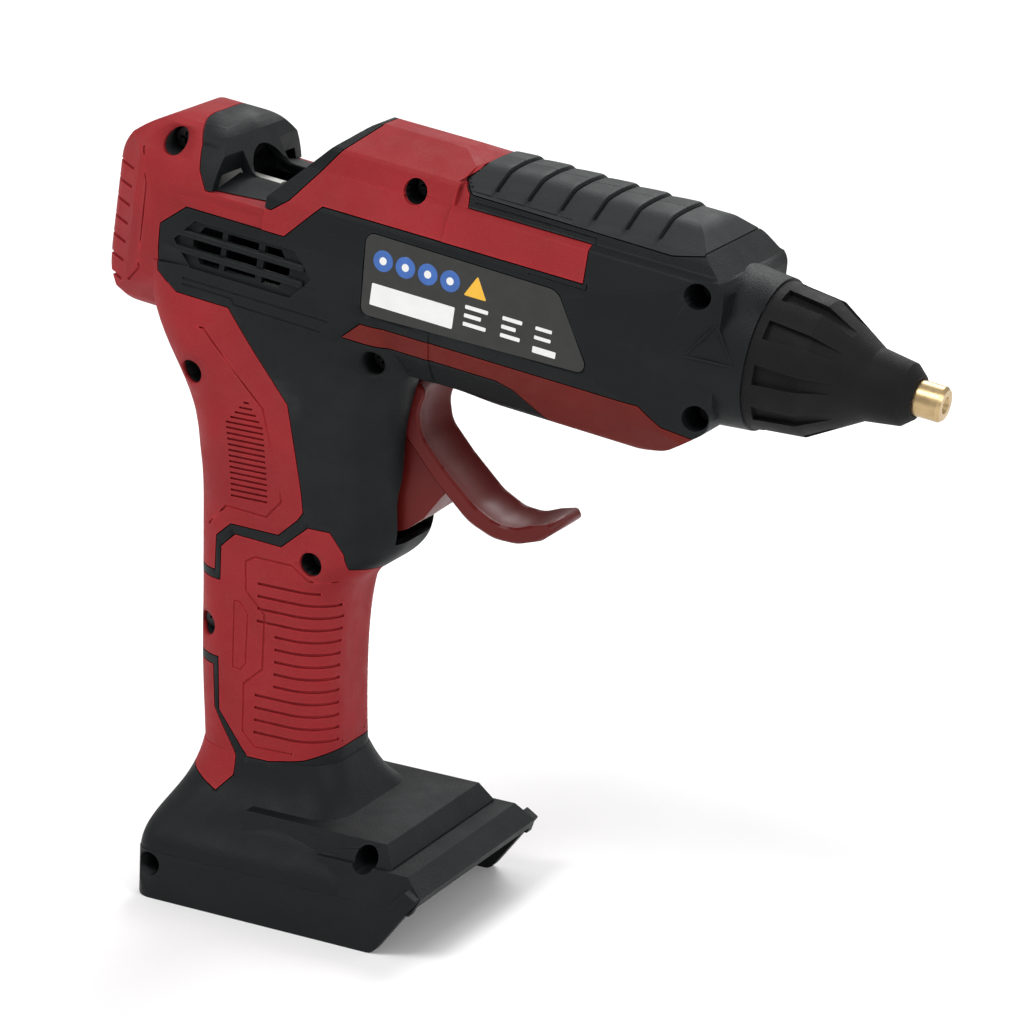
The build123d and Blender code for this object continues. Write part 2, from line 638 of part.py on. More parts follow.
keep("control_board", barrel_box(52, 84, -11, 11, 16.6, 18.2))
keep("tact_switch", barrel_box(58, 64, -3, 3, 18.2, 19.4))
button = joined(cross_rod(BARREL, BUTTON_UV, 6.4, -21.0, -28.2),
                cross_rod(BARREL, BUTTON_UV, 7.8, -20.9, -22.4))
with BuildPart() as cap:
    add(button)
    fillet(cap.faces().sort_by(Axis.Y)[-1].edges(), radius=1.0)
keep("power_button", cap.part)
keep("led_lens", joined(cross_rod(BARREL, LED_UV, 1.6, -19.5, -27.2),
                        cross_rod(BARREL, LED_UV, 2.4, -19.0, -20.4)))

block = joined(side_box(-16.8, -4, 6.5, 15.9, -16, 16), side_box(-13.8, -5.2, 15.5, 20, -10, 10))
blades = [side_box(-6, 8, 8, 13, y - 0.4, y + 0.4) for y in (-11, -4, 4, 11)]
keep("terminal_block", cut(block, *blades))
keep("terminal_blades", Compound(children=blades))

for name, y, drop, end in (("red_supply_wire", -2.2, 0, (54.5, -7)),
                           ("black_supply_wire", 2.2, 3, (57.5, -9.5))):
    route = [at_side(-9, y, 20), at_side(-9, y, 156 - drop), uv(4, -19 - drop, 17.5),
             uv(46, -17 - drop, 19.6), uv(*end, 19.6)]
    keep(name, wire(route, 0.8, 6))
keep("heater_wire_front", wire([uv(80.5, 4, 15.6), uv(80.5, 8.5, 15.6), uv(80.5, 13.9, 9),
                                uv(81.2, 13.9, 5), uv(83.95, 13.9, 5)], 0.7, 1.5))
keep("heater_wire_rear", wire([uv(76, 4, 15.6), uv(76, 8.5, 15.6), uv(77, 13.9, 9), uv(78.5, 13.9, 1),
                               uv(83.95, 13.9, 1)], 0.7, 1.5))

# ---- case screws ---------------------------------------------------------------------------------
screws = []
for at, seat, reach in SCREWS:
    shank = cross_rod(BARREL, at, SCREW_R, -reach, seat + 0.5)
    screw = joined(shank, cross_rod(BARREL, at, SCREW_HEAD_R, seat, seat + 2.2))
    slots = [prism(Plane(origin=uv(*at), x_dir=BARREL.x_dir, z_dir=BARREL.z_dir), outline, seat + 1.0,
                   seat + 3)
             for outline in ([(-1.8, -0.4), (1.8, -0.4), (1.8, 0.4), (-1.8, 0.4)],
                             [(-0.4, -1.8), (0.4, -1.8), (0.4, 1.8), (-0.4, 1.8)])]
    screws.append(cut(screw, *slots))
keep("case_screws", Compound(children=screws))

os.makedirs("parts", exist_ok=True)
for name, solid in parts.items():
    export_step(solid, f"parts/{name}.step")
    box = solid.bounding_box()
    print(name, solid.is_valid, len(solid.solids()), round(solid.volume),
          [round(value, 1) for value in (box.min.X, box.max.X, box.min.Y, box.max.Y, box.min.Z, box.max.Z)])
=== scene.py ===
"""Looks of the cordless glue gun: camera, light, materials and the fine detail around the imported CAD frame.

Everything is in metres in the CAD frame: +X forward to the nozzle, +Y to the left hand side, +Z up. The
barrel points down a little, so what lies on it is placed by u along the glue stick's axis and v above it.
What lies on the handle is placed by x forward from the handle's centre line and z above the ground. Both
pairs are written in millimetres, like the CAD's own dimensions.
"""

import json
from math import cos, pi, radians, sin

import bmesh
import bpy
from mathutils import Matrix, Vector
from mathutils.bvhtree import BVHTree


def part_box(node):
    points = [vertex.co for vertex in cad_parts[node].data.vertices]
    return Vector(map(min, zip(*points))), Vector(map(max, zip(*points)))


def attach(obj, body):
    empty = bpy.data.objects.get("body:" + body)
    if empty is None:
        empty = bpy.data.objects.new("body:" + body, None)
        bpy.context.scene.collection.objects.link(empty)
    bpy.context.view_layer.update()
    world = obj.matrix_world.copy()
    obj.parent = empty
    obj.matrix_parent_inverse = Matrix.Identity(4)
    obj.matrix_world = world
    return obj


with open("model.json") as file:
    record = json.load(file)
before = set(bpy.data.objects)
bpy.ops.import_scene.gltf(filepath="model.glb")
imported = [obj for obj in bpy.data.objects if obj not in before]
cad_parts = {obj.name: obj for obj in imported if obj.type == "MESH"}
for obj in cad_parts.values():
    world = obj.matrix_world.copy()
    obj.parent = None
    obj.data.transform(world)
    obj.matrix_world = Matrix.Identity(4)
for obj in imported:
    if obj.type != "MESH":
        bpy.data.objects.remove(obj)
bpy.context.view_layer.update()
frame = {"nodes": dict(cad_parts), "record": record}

MM = 0.001
RECORD = frame["record"]
HANDLE_X = -72.17            # handle's centre line, in millimetres
AXIS_HEIGHT = 198.6          # stick axis above the ground, over the handle's centre line, in millimetres
INLET_AXIS = Vector(next(mount["axis"] for mount in RECORD["mounts"] if mount["name"] == "stick_inlet"))
FORWARD = -INLET_AXIS        # along the barrel, u
UPWARD = Vector((-FORWARD.z, 0, FORWARD.x))   # square to the barrel, v
RIGHT, LEFT = -1, 1          # sign of y on each side
SIDES = ((RIGHT, "right"), (LEFT, "left"))


# ---- places --------------------------------------------------------------------------------------
def on_barrel(u, v, y=0.0):
    """Point at u, v on the barrel and y to the left, given in millimetres."""
    origin = Vector((HANDLE_X, 0, AXIS_HEIGHT))
    return (origin + FORWARD * u + UPWARD * v + Vector((0, y, 0))) * MM


def on_handle(x, z, y=0.0):
    """Point at x from the handle's centre line, z above the ground and y to the left, in millimetres."""
    return Vector((HANDLE_X + x, y, z)) * MM


# ---- new objects ---------------------------------------------------------------------------------
def add_object(name, data):
    """New object in the scene for the mesh, camera or light data."""
    made = bpy.data.objects.new(name, data)
    bpy.context.scene.collection.objects.link(made)
    return made


def add_solid(name, shape):
    """New object for the closed bmesh, with its faces turned outward. The bmesh is used up."""
    bmesh.ops.recalc_face_normals(shape, faces=shape.faces)
    mesh = bpy.data.meshes.new(name)
    shape.to_mesh(mesh)
    shape.free()
    return add_object(name, mesh)


# ---- camera and light ----------------------------------------------------------------------------
def make_camera():
    """Same viewpoint as the product view: right hand side, from a little in front and above."""
    azimuth, elevation, roll = radians(26.193), radians(18.209), radians(2.717)
    place = (0.51328, -1.04718, 0.50806)
    right = Vector((cos(azimuth), sin(azimuth), 0))
    back = Vector((sin(azimuth) * cos(elevation), -cos(azimuth) * cos(elevation), sin(elevation)))
    up = back.cross(right)
    rolled_right = right * cos(roll) + up * sin(roll)
    rolled_up = up * cos(roll) - right * sin(roll)
    data = bpy.data.cameras.new("camera")
    data.lens = 155.39
    data.sensor_width = 36
    data.clip_start = 0.05
    data.clip_end = 50
    camera = add_object("camera", data)
    turn = Matrix((rolled_right, rolled_up, back)).transposed().to_4x4()
    camera.matrix_world = Matrix.Translation(place) @ turn
    bpy.context.scene.camera = camera


def soft_box(name, place, target, size, power):
    """Round area light of the given size in metres, turned to the target."""
    data = bpy.data.lights.new(name, "AREA")
    data.shape = "DISK"
    data.size = size
    data.energy = power
    light = add_object(name, data)
    light.location = place
    light.rotation_euler = (Vector(target) - Vector(place)).to_track_quat("-Z", "Y").to_euler()


def make_light():
    """Three soft boxes around the object and an even white surrounding."""
    centre = (0, 0, 0.12)
    soft_box("key_light", (-0.5, -0.9, 1.6), centre, 0.8, 15)
    soft_box("front_light", (1.4, -0.3, 0.9), centre, 0.7, 7)
    soft_box("back_light", (-0.1, 1.2, 1.2), centre, 0.9, 12)
    world = bpy.data.worlds.new("studio")
    world.use_nodes = True
    surround = world.node_tree.nodes["Background"]
    surround.inputs["Color"].default_value = (1, 1, 1, 1)
    surround.inputs["Strength"].default_value = 0.62
    bpy.context.scene.world = world
    bpy.context.scene.view_settings.view_transform = "Standard"


# ---- materials -----------------------------------------------------------------------------------
class Shader:
    """A Principled material with the few node chains that every finish here is made of."""

    def __init__(self, name, roughness, metallic=0.0, **sockets):
        self.material = bpy.data.materials.new(name)
        self.material.use_nodes = True
        self.tree = self.material.node_tree
        self.surface = self.tree.nodes["Principled BSDF"]
        self.surface.inputs["Roughness"].default_value = roughness
        self.surface.inputs["Metallic"].default_value = metallic
        for socket, value in sockets.items():
            self.surface.inputs[socket.replace("_", " ")].default_value = value
        self.place = self.tree.nodes.new("ShaderNodeTexCoord").outputs["Object"]
        self.height = None

    def node(self, kind, links=None, **values):
        """New node with its properties set and each input linked to a socket or set to a value."""
        made = self.tree.nodes.new(kind)
        for key, value in values.items():
            setattr(made, key, value)
        for socket, source in (links or {}).items():
            target = made.inputs[socket]
            if isinstance(source, bpy.types.NodeSocket):
                self.tree.links.new(source, target)
            else:
                target.default_value = source
        return made

    def noise(self, scale, detail=3.0, stretch=None):
        """Noise with scale cells per metre, stretched along the axes if asked."""
        place = self.place
        if stretch:
            place = self.node("ShaderNodeMapping", {"Vector": place, "Scale": stretch}).outputs[0]
        links = {"Vector": place, "Scale": scale, "Detail": detail}
        return self.node("ShaderNodeTexNoise", links).outputs[0]

    def cells(self, scale):
        """Distance to the nearest of scale cell centres per metre."""
        return self.node("ShaderNodeTexVoronoi", {"Vector": self.place, "Scale": scale}).outputs[0]

    def ranged(self, value, low, high, to_low, to_high):
        """The value's range from low to high, spread from to_low to to_high."""
        links = {"Value": value, "From Min": low, "From Max": high, "To Min": to_low, "To Max": to_high}
        return self.node("ShaderNodeMapRange", links).outputs[0]

    def mixed(self, factor, first, second):
        """Colour between the first, at factor 0, and the second, at 1."""
        made = self.node("ShaderNodeMix", data_type="RGBA")
        for socket, source in ((0, factor), (6, first), (7, second)):
            if isinstance(source, bpy.types.NodeSocket):
                self.tree.links.new(source, made.inputs[socket])
            else:
                made.inputs[socket].default_value = source
        return made.outputs[2]

    def product(self, first, second):
        return self.node("ShaderNodeMath", {0: first, 1: second}, operation="MULTIPLY").outputs[0]

    def edges(self, radius):
        """1 on sharp outer and inner edges within radius, 0 on open faces: the mask where edge highlights are
        painted.
        """
        rounded = self.node("ShaderNodeBevel", {"Radius": radius}, samples=4).outputs[0]
        plain = self.node("ShaderNodeNewGeometry").outputs["Normal"]
        facing = self.node("ShaderNodeVectorMath", {0: rounded, 1: plain}, operation="DOT_PRODUCT")
        return self.ranged(facing.outputs["Value"], 0.99, 0.82, 0.0, 1.0)

    def colour(self, source):
        self.tree.links.new(source, self.surface.inputs["Base Color"])

    def rough(self, source):
        self.tree.links.new(source, self.surface.inputs["Roughness"])

    def relief(self, source, depth):
        """Bump of the given depth in metres, on top of any earlier one."""
        links = {"Height": source, "Distance": depth, "Strength": 1.0}
        if self.height is not None:
            links["Normal"] = self.height
        self.height = self.node("ShaderNodeBump", links).outputs[0]
        self.tree.links.new(self.height, self.surface.inputs["Normal"])


def rgba(*colour):
    return (*colour, 1.0)


def scaled(colour, factor):
    return rgba(*(min(channel * factor, 1.0) for channel in colour))


DUST = (0.62, 0.30, 0.30, 1.0)


def soft_grip(name, colour, speckle):
    """Soft-touch rubber: fine matt grain, pale dust in the grain, and a painted highlight along the edges,
    broken up by noise.
    """
    shader = Shader(name, 0.66, Specular_IOR_Level=0.22)
    tone = shader.ranged(shader.noise(45, 4), 0.3, 0.7, 0.0, 1.0)
    base = shader.mixed(tone, scaled(colour, 0.90), scaled(colour, 1.10))
    dust = shader.ranged(shader.noise(5200, 2), 0.60, 0.74, 0.0, speckle)
    dusted = shader.mixed(dust, base, DUST)
    # Painted highlight: the edge mask, broken up by noise, mixes in a much lighter copy of the colour.
    painted_edge_highlight = shader.product(shader.edges(0.0009), shader.ranged(shader.noise(300, 3), 0.35, 0.7, 0.1, 0.55))
    shader.colour(shader.mixed(painted_edge_highlight, dusted, scaled(colour, 1.9)))
    shader.rough(shader.ranged(shader.noise(160, 4), 0.3, 0.7, 0.58, 0.74))
    shader.relief(shader.noise(2600, 3), 0.00006)
    shader.relief(shader.cells(3800), 0.00003)
    return shader.material


def moulded(name, colour, low_rough, high_rough, depth, highlight_tone=2.4, specular=0.5):
    """Hard moulded plastic with a spark-eroded texture, faint flow marks and a painted highlight along the
    edges, broken up by noise.
    """
    shader = Shader(name, high_rough, Specular_IOR_Level=specular)
    tone = shader.ranged(shader.noise(28, 3, (1, 1, 2.2)), 0.3, 0.7, 0.0, 1.0)
    base = shader.mixed(tone, scaled(colour, 0.88), scaled(colour, 1.12))
    fleck = shader.ranged(shader.noise(4300, 2), 0.62, 0.76, 0.0, 0.30)
    flecked = shader.mixed(fleck, base, scaled(colour, 3.0))
    uneven = shader.ranged(shader.noise(240, 4), 0.38, 0.7, 0.15, 0.75)
    # Painted highlight: the edge mask, broken up by noise, mixes in a lighter copy of the colour.
    painted_edge_highlight = shader.product(shader.edges(0.0007), uneven)
    shader.colour(shader.mixed(painted_edge_highlight, flecked, scaled(colour, highlight_tone)))
    shader.rough(shader.ranged(shader.noise(120, 5), 0.3, 0.7, low_rough, high_rough))
    shader.relief(shader.cells(2300), depth)
    shader.relief(shader.noise(3400, 2), depth * 0.6)
    return shader.material


def metal(name, colour, dull, low_rough, high_rough, stretch, tarnish=0.5):
    """Metal with tool marks along the stretched noise, dull patches and a painted highlight along the edges.
    """
    shader = Shader(name, high_rough, metallic=1.0)
    patches = shader.ranged(shader.noise(260, 5), 0.42, 0.68, 0.0, tarnish)
    base = shader.mixed(patches, rgba(*colour), rgba(*dull))
    # Painted highlight: a lighter copy of the metal's colour laid along the edges.
    shader.colour(shader.mixed(shader.edges(0.0004), base, scaled(colour, 1.25)))
    shader.rough(shader.ranged(shader.noise(700, 4), 0.3, 0.7, low_rough, high_rough))
    shader.relief(shader.noise(900, 3, stretch), 0.000012)
    return shader.material


def printed(name, colour, ghost):
    """Printed film: a faint screen pattern, small tone changes and a satin gloss."""
    shader = Shader(name, 0.38)
    tone = shader.ranged(shader.noise(220, 4), 0.3, 0.7, 0.0, 1.0)
    shader.colour(shader.mixed(tone, rgba(*colour), scaled(colour, ghost)))
    shader.rough(shader.ranged(shader.noise(500, 3), 0.3, 0.7, 0.3, 0.46))
    shader.relief(shader.noise(1500, 2), 0.00001)
    return shader.material


def clear_lens(name, colour):
    """Tinted clear plastic over a light."""
    shader = Shader(name, 0.18, Transmission_Weight=0.35)
    tone = shader.ranged(shader.noise(600, 3), 0.3, 0.7, 0.0, 1.0)
    shader.colour(shader.mixed(tone, rgba(*colour), scaled(colour, 0.8)))
    shader.rough(shader.ranged(shader.noise(900, 3), 0.3, 0.7, 0.12, 0.28))
    shader.relief(shader.noise(800, 2), 0.00002)
    return shader.material


def make_finishes():
    """One material for each slot that the record names."""
    steel = metal("satin_steel", (0.56, 0.57, 0.58), (0.35, 0.34, 0.33), 0.28, 0.42, (1, 8, 1))
    return {
        "housing_plastic": moulded("black_plastic", (0.0060, 0.0076, 0.0083), 0.46, 0.60, 0.00006, 3.0,
                                   0.16),
        "red_grip": soft_grip("red_soft_touch", (0.262, 0.0130, 0.0165), 0.12),
        "belly_grip": soft_grip("brick_soft_touch", (0.118, 0.0075, 0.0042), 0.06),
        "rib_rubber": moulded("black_rib_rubber", (0.0125, 0.0145, 0.0155), 0.54, 0.66, 0.00005, 2.2, 0.26),
        "trigger_plastic": moulded("trigger_plastic", (0.105, 0.0085, 0.0070), 0.36, 0.46, 0.000012, 1.5,
                                   0.20),
        "label_film": printed("label_film", (0.010, 0.010, 0.009), 1.4),
        "sleeve_silicone": moulded("nozzle_silicone", (0.0062, 0.0055, 0.0057), 0.58, 0.72, 0.00004, 2.6,
                                   0.16),
        "nozzle_brass": metal("turned_brass", (0.52, 0.38, 0.20), (0.30, 0.20, 0.09), 0.26, 0.38, (6, 1, 1),
                              0.35),
        "chamber_aluminium": metal("cast_aluminium", (0.60, 0.60, 0.60), (0.40, 0.40, 0.40), 0.40, 0.6,
                                   (1, 1, 1)),
        "inlet_silicone": soft_grip("inlet_silicone", (0.42, 0.09, 0.04), 0.05),
        "insulator": moulded("insulator_board", (0.50, 0.47, 0.38), 0.6, 0.75, 0.00004, 1.2),
        "heater_ceramic": moulded("heater_ceramic", (0.62, 0.60, 0.55), 0.55, 0.7, 0.00003, 1.2),
        "spring_steel": steel,
        "white_nylon": moulded("white_nylon", (0.60, 0.60, 0.57), 0.36, 0.48, 0.00002, 1.15),
    }


def dark_screws():
    """Blackened steel for the screws down in their wells."""
    return metal("blackened_steel", (0.045, 0.045, 0.048), (0.02, 0.02, 0.02), 0.38, 0.5, (1, 8, 1), 0.4)


def spare_finish(slot):
    """A finish for a slot with no look of its own, from the record's colour for it."""
    colour = next(entry["base_color"] for entry in RECORD["materials"] if entry["slot"] == slot)[:3]
    if slot == "led_lens":
        return clear_lens(slot, colour)
    return moulded(slot, colour, 0.42, 0.56, 0.00003, 1.4)


def paint(piece, material):
    piece.data.materials.clear()
    piece.data.materials.append(material)


def paint_nodes(finishes):
    """Give every CAD node the finish of its slot."""
    for entry in RECORD["subparts"]:
        slot = entry["material_slot"]
        if slot not in finishes:
            finishes[slot] = spare_finish(slot)
        paint(frame["nodes"][entry["node"]], finishes[slot])
    paint(frame["nodes"]["case_screws"], dark_screws())


def make_floor():
    """Plain pale floor, twelve metres square."""
    mesh = bpy.data.meshes.new("floor")
    reach = 6.0
    corners = [(-reach, -reach, 0), (reach, -reach, 0), (reach, reach, 0), (-reach, reach, 0)]
    mesh.from_pydata(corners, [], [(0, 1, 2, 3)])
    floor = add_object("floor", mesh)
    shader = Shader("pale_floor", 0.7, Specular_IOR_Level=0.2)
    tone = shader.ranged(shader.noise(14, 4), 0.3, 0.7, 0.0, 1.0)
    shader.colour(shader.mixed(tone, rgba(0.93, 0.93, 0.93), rgba(0.96, 0.96, 0.96)))
    shader.relief(shader.noise(700, 3), 0.00005)
    paint(floor, shader.material)


# ---- label print ---------------------------------------------------------------------------------
PRINT_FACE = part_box("label_plate")[0].y / MM     # outer face of the label plate
PRINT_THICK = 0.05                               # height of one layer of print
PRINT_EDGE = 0.06                                # how far its top is drawn in from the outline


def flat_print(name, outlines, material, level=0):
    """Raised print on the label: closed outlines of (u, v) points, each with a narrow slanted edge."""
    shape = bmesh.new()
    near = PRINT_FACE - PRINT_THICK * level
    for outline in outlines:
        rim = [shape.verts.new(on_barrel(u, v, near)) for u, v in outline]
        centre_u = sum(u for u, v in outline) / len(outline)
        centre_v = sum(v for u, v in outline) / len(outline)
        top = []
        for u, v in outline:
            away = Vector((u - centre_u, v - centre_v))
            away -= away.normalized() * PRINT_EDGE
            top.append(shape.verts.new(on_barrel(centre_u + away.x, centre_v + away.y, near - PRINT_THICK)))
        shape.faces.new(top)
        shape.faces.new(list(reversed(rim)))
        for index in range(len(rim)):
            after = (index + 1) % len(rim)
            shape.faces.new([rim[index], rim[after], top[after], top[index]])
    piece = add_solid(name, shape)
    paint(piece, material)
    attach(piece, "housing")


def disc(centre_u, centre_v, radius, steps=48):
    """Round outline."""
    return [(centre_u + radius * cos(2 * pi * step / steps), centre_v + radius * sin(2 * pi * step / steps))
            for step in range(steps)]


def rounded(corners, radius, steps=6):
    """Outline through the corners with each one rounded off."""
    outline = []
    for index, corner in enumerate(corners):
        here = Vector(corner)
        before = (Vector(corners[index - 1]) - here).normalized()
        after = (Vector(corners[(index + 1) % len(corners)]) - here).normalized()
        start, end = here + before * radius, here + after * radius
        for step in range(steps + 1):
            share = step / steps
            point = start * (1 - share) ** 2 + here * 2 * share * (1 - share) + end * share ** 2
            outline.append((point.x, point.y))
    return outline


def bar(u0, v0, u1, v1, radius=0.3):
    """Outline of a straight bar with rounded corners."""
    return rounded([(u0, v0), (u1, v0), (u1, v1), (u0, v1)], radius)


def make_label():
    """Plain marks where a rating label has its print: four discs, a triangle, a blank box and bars."""
    blue = printed("print_blue", (0.028, 0.105, 0.36), 1.25)
    white = printed("print_white", (0.80, 0.80, 0.79), 0.94)
    yellow = printed("print_yellow", (0.84, 0.46, 0.03), 0.93)
    centres = (41.0, 47.9, 54.8, 61.7)
    flat_print("label_discs", [disc(u, 3.2, 3.0) for u in centres], blue)
    flat_print("label_disc_marks", [disc(u, 3.2, 1.1) for u in centres], white, 1)
    flat_print("label_triangle", [rounded([(66.2, 0.6), (73.2, 0.6), (69.7, 6.8)], 0.7)], yellow)
    flat_print("label_box", [bar(38.6, -9.8, 64.2, -3.6, 0.4)], white)
    marks = [bar(67.2, -3.0, 74.2, -1.9), bar(67.2, -5.4, 72.4, -4.3), bar(67.2, -7.8, 74.2, -6.7),
             bar(78.6, -7.8, 84.6, -6.7), bar(78.6, -5.4, 83.0, -4.3), bar(78.6, -3.0, 84.6, -1.9),
             bar(88.6, -5.6, 93.6, -4.6), bar(88.6, -3.0, 93.6, -2.0), bar(88.6, -9.4, 95.6, -7.6)]
    flat_print("label_bars", marks, white)


# ---- grooves and ridges on the housing -----------------------------------------------------------
def surface_tree(*nodes):
    """Search tree over the CAD nodes' own meshes."""
    graph = bpy.context.evaluated_depsgraph_get()
    shape = bmesh.new()
    for node in nodes:
        shape.from_object(frame["nodes"][node], graph)
    tree = BVHTree.FromBMesh(shape)
    shape.free()
    return tree


def drop(tree, place, side):
    """The point where a line from outside, square to the middle plane, first meets the surface."""
    start = Vector((place.x, side * 0.06, place.z))
    return tree.ray_cast(start, Vector((0, -side, 0)))[0]


def tube(name, paths, radius, closed):
    """Mesh of round bars, one along each path of points."""
    data = bpy.data.curves.new(name, "CURVE")
    data.dimensions = "3D"
    data.bevel_depth = radius * MM
    data.bevel_resolution = 2
    data.use_fill_caps = not closed
    for path in paths:
        line = data.splines.new("POLY")
        line.points.add(len(path) - 1)
        for index, place in enumerate(path):
            line.points[index].co = (*place, 1)
        line.use_cyclic_u = closed
    maker = add_object(name, data)
    graph = bpy.context.evaluated_depsgraph_get()
    mesh = bpy.data.meshes.new_from_object(maker.evaluated_get(graph))
    bpy.data.objects.remove(maker)
    return add_object(name, mesh)


def cut_by(piece, cutter):
    """Take the cutter's shape away from a CAD node by a modifier, and hide the cutter."""
    cutter.hide_render = True
    cutter.hide_viewport = True
    if not piece.modifiers:
        weld = piece.modifiers.new("weld", "WELD")
        weld.merge_threshold = 1e-7
    cut = piece.modifiers.new("cut", "BOOLEAN")
    cut.operation = "DIFFERENCE"
    cut.solver = "EXACT"
    cut.object = cutter


# Lines of the grooves: the pads on (x, z) of the handle, the rear pad and the shell's lines on (u, v).
GROOVE_RADIUS = 0.42
FINE_RADIUS = 0.3
SHELL_RADIUS = 0.35
PALM_PAD = [(-33, 170.3), (-15, 169), (3, 148), (7, 120), (2, 114.5), (-11, 115.5), (-17.5, 108.5)]
HANDLE_PAD = [(24, 98.5), (16, 97.8), (10.5, 101.5), (-1.5, 101.8), (-4.5, 100), (-4.3, 91), (2, 85),
              (1.8, 68.5), (-4.2, 63), (-4, 48.5), (0, 44.5), (12, 44.8), (23, 48)]
HANDLE_FACET = [(-8, 87.5), (-6, 87.3), (-3.5, 84), (-3.8, 69), (-5.5, 67), (-8, 67.3)]
REAR_PAD = [(-39.5, 14), (-35.5, 5), (-35, -20), (-39, -25)]
STRIP_LINE = [(62.5, 24.0), (99.2, 24.0), (101.4, 11.4), (84, 11.4)]
VENT_LINES = [[(-20, -18.5), (27, -18.5)], [(-20, -20.2), (-4, -20.2), (-3, -21.7), (25, -22)]]


def groove(node, side, outlines, closed=False, radius=GROOVE_RADIUS):
    """Half-round groove cut into a CAD node by a modifier, straight from point to point of each outline.

    Only the points are on the surface, so the groove is shallower in the middle of a run over a curved face.
    """
    tree = surface_tree(node)
    paths = []
    for outline in outlines:
        met = [drop(tree, place, side) for place in outline]
        paths.append([place for place in met if place is not None])
    piece = frame["nodes"][node]
    cutter = tube(f"cutter_{node}_{len(piece.modifiers)}", paths, radius, closed)
    cutter.data.shade_flat()
    cut_by(piece, cutter)


def placed(points, place):
    """The points of a line, each put in its place by on_handle or on_barrel."""
    return [place(*point) for point in points]


def cut_grooves():
    """The grooves on both sides: round the pads of the grips and along the shell's steps."""
    for side, hand in SIDES:
        shell_lines = [placed(line, on_barrel) for line in [STRIP_LINE, *VENT_LINES]]
        groove(f"{hand}_body_grip", side, [placed(PALM_PAD, on_handle), placed(REAR_PAD, on_barrel)])
        groove(f"{hand}_handle_grip", side, [placed(HANDLE_PAD, on_handle)])
        groove(f"{hand}_handle_grip", side, [placed(HANDLE_FACET, on_handle)], True, FINE_RADIUS)
        groove(f"{hand}_shell", side, shell_lines, False, SHELL_RADIUS)


def make_nose_triangle():
    """Plain raised triangle on the right of the nose."""
    tree = surface_tree("right_shell")
    corners = rounded([(130.8, 0.8), (144.2, 0.8), (137.5, 10.8)], 1.0)
    path = [drop(tree, place, RIGHT) for place in placed(corners, on_barrel)]
    ridge = tube("nose_triangle", [path], 0.32, True)
    paint(ridge, FINISHES["housing_plastic"])
    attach(ridge, "housing")


# ---- scales of the top cover ---------------------------------------------------------------------
RIB_PITCH = 9.8              # along the barrel, in millimetres
FIRST_RIB = 66.9             # u of the front of the rearmost scale
SCALES = 6
SCALE_GAP = 0.5              # between one scale and the next
SCALE_SEAM = 0.004           # angle left open at the middle plane, in radians
SCALE_SUNK = 0.5             # how deep a scale's foot reaches into the cover
SCALE_FADE = 2.5             # rows of points over which a scale runs out at its side
SCALE_SPREAD = radians(47)   # how far round the barrel a scale reaches on each side
SCALE_CENTRE_V = 8.0         # v of the line that the scales are swept around
SCALE_LOW = 0.10             # height of a scale's rear and foot
SCALE_REAR_GAIN = 0.80       # how much it rises up to its crest
SCALE_FRONT_GAIN = 0.74      # and how much of that is left to fall away in front
SCALE_CREST = 0.88           # share of its length at the crest


def scale_height(share):
    """Height of a scale above the cover, from its rear, 0, to its front, 1."""
    if share < SCALE_CREST:
        return SCALE_LOW + SCALE_REAR_GAIN * share ** 0.6
    past = (share - SCALE_CREST) / (1 - SCALE_CREST)
    return SCALE_LOW + SCALE_FRONT_GAIN * cos(past * pi / 2) ** 0.5


def make_scales(side, hand):
    """Overlapping scales on one half of the top cover, each rising forward and ending in a step."""
    tree = surface_tree("right_rib_cover", "left_rib_cover")
    shape = bmesh.new()
    along, across = 22, 16
    for rib in range(SCALES):
        grid = {}
        for i in range(along + 1):
            share = i / along
            u = FIRST_RIB + RIB_PITCH * (rib - 1) + SCALE_GAP / 2 + share * (RIB_PITCH - SCALE_GAP)
            for j in range(across + 1):
                angle = side * (SCALE_SEAM + SCALE_SPREAD * j / across)
                ray = UPWARD * cos(angle) + Vector((0, sin(angle), 0))
                centre = on_barrel(u, SCALE_CENTRE_V)
                found = tree.ray_cast(centre + ray * 0.06, -ray)[0]
                if found is None:
                    continue
                fade = min(1.0, (across - j) / SCALE_FADE)
                grid[i, j, 1] = shape.verts.new(found + ray * scale_height(share) * fade * MM)
                grid[i, j, 0] = shape.verts.new(found - ray * SCALE_SUNK * MM)
        close_grid(shape, grid, along, across)
    piece = add_solid(f"{hand}_cover_scales", shape)
    piece.data.shade_smooth()
    piece.data.set_sharp_from_angle(angle=radians(40))
    paint(piece, FINISHES["rib_rubber"])
    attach(piece, "housing")


def close_grid(shape, grid, along, across):
    """Top, bottom and rim faces of a grid of points in two layers."""
    def face(*keys):
        if all(key in grid for key in keys):
            shape.faces.new([grid[key] for key in keys])
    for i in range(along):
        for j in range(across):
            face((i, j, 1), (i + 1, j, 1), (i + 1, j + 1, 1), (i, j + 1, 1))
            face((i, j, 0), (i, j + 1, 0), (i + 1, j + 1, 0), (i + 1, j, 0))
        for j in (0, across):
            face((i, j, 0), (i + 1, j, 0), (i + 1, j, 1), (i, j, 1))
    for i in (0, along):
        for j in range(across):
            face((i, j, 0), (i, j, 1), (i, j + 1, 1), (i, j + 1, 0))


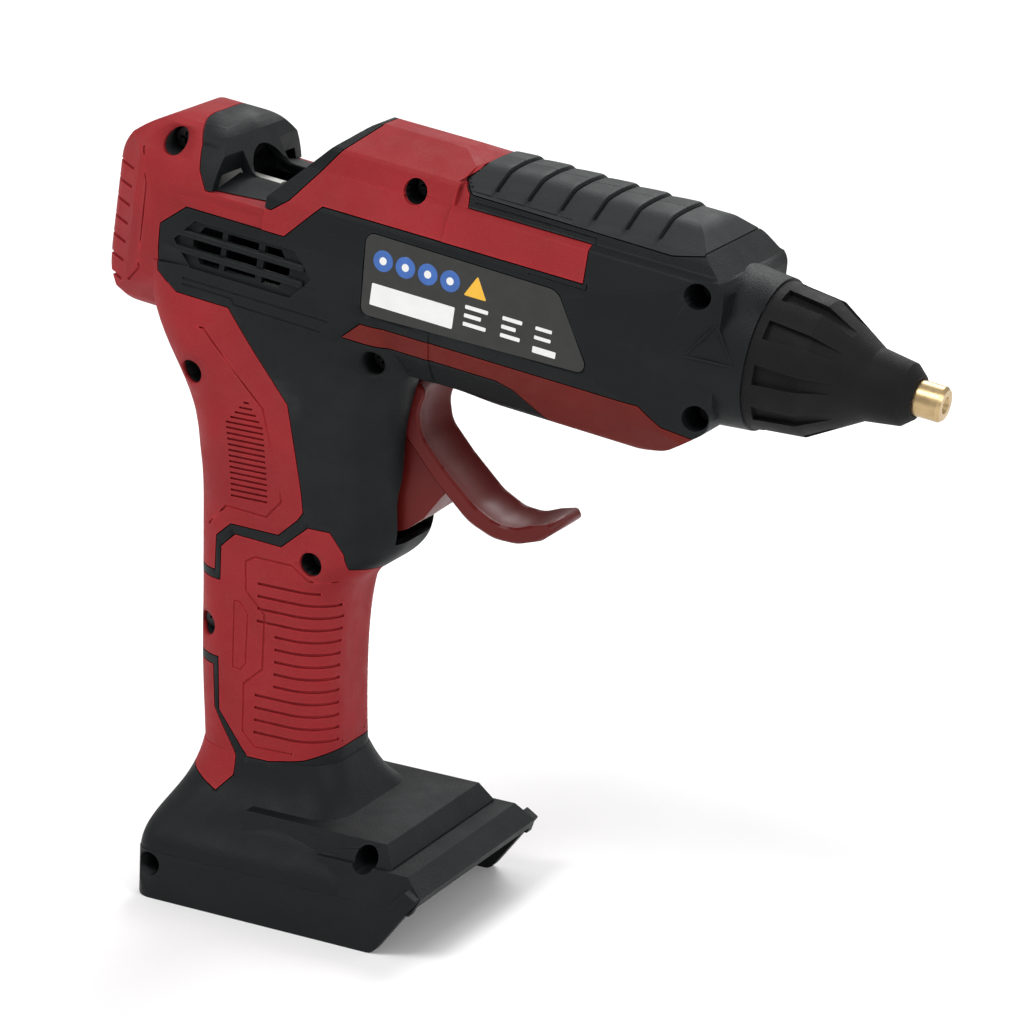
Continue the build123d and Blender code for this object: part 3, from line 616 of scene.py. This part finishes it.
# ---- hollow of the trigger's blade ---------------------------------------------------------------
BLADE_FRONT = [(47.5, 159), (45.6, 154.5), (44.9, 149.0), (46.4, 143.8), (53, 136.6), (59, 130.9),
               (64.5, 126.6), (70, 123.9), (75.5, 123.2), (80.5, 124.6), (85.5, 125.9)]
HOLLOW_HALF_WIDTH = 8.8      # in millimetres, like its depth
HOLLOW_DEPTH = 2.3
HOLLOW_FRONT = 0.0016        # how far the cutter stands out in front of the blade, in metres
HOLLOW_RIM = 0.02            # how far the cutter's rim stays off the blade, in millimetres
HOLLOW_END = 0.16            # last share of the length, over which the hollow runs out to the tip


def corner_cut(points, rounds=3):
    """Smooth line through the same ends, made by cutting every corner again and again."""
    line = [Vector(point) for point in points]
    for _ in range(rounds):
        inner = []
        for start, end in zip(line, line[1:]):
            inner += [start.lerp(end, 0.25), start.lerp(end, 0.75)]
        line = [line[0], *inner[1:-1], line[-1]]
    return line


def hollow_depth(along, across):
    """Depth of the hollow in millimetres: along from the top, 0, to the tip, 1; across from -1 to 1."""
    left = min(1.0, (1 - along) / HOLLOW_END)
    return HOLLOW_DEPTH * (1 - across ** 2) * (1 - (1 - left) ** 2) ** 0.5


def cut_blade_hollow():
    """Long hollow for the fingers, cut into the front of the trigger's blade by a modifier."""
    tree = surface_tree("trigger")
    line = corner_cut(BLADE_FRONT)
    last, steps = len(line) - 1, 20
    shape = bmesh.new()
    grid = {}
    for i, here in enumerate(line):
        run = (line[min(i + 1, last)] - line[max(i - 1, 0)]).normalized()
        out = Vector((-run.y, 0, run.x))
        met = tree.ray_cast(on_handle(*here) + out * 0.004, -out)[0] or on_handle(*here)
        for j in range(steps + 1):
            across = 2 * j / steps - 1
            place = met + Vector((0, across * HOLLOW_HALF_WIDTH * MM, 0))
            depth = hollow_depth(i / last, across) - HOLLOW_RIM
            grid[i, j, 1] = shape.verts.new(place + out * HOLLOW_FRONT)
            grid[i, j, 0] = shape.verts.new(place - out * depth * MM)
    close_grid(shape, grid, last, steps)
    cutter = add_solid("blade_hollow", shape)
    cutter.data.shade_smooth()
    cut_by(frame["nodes"]["trigger"], cutter)


make_camera()
make_light()
make_floor()
FINISHES = make_finishes()
paint_nodes(FINISHES)
make_label()
make_nose_triangle()
for side, hand in SIDES:
    make_scales(side, hand)
cut_grooves()
cut_blade_hollow()
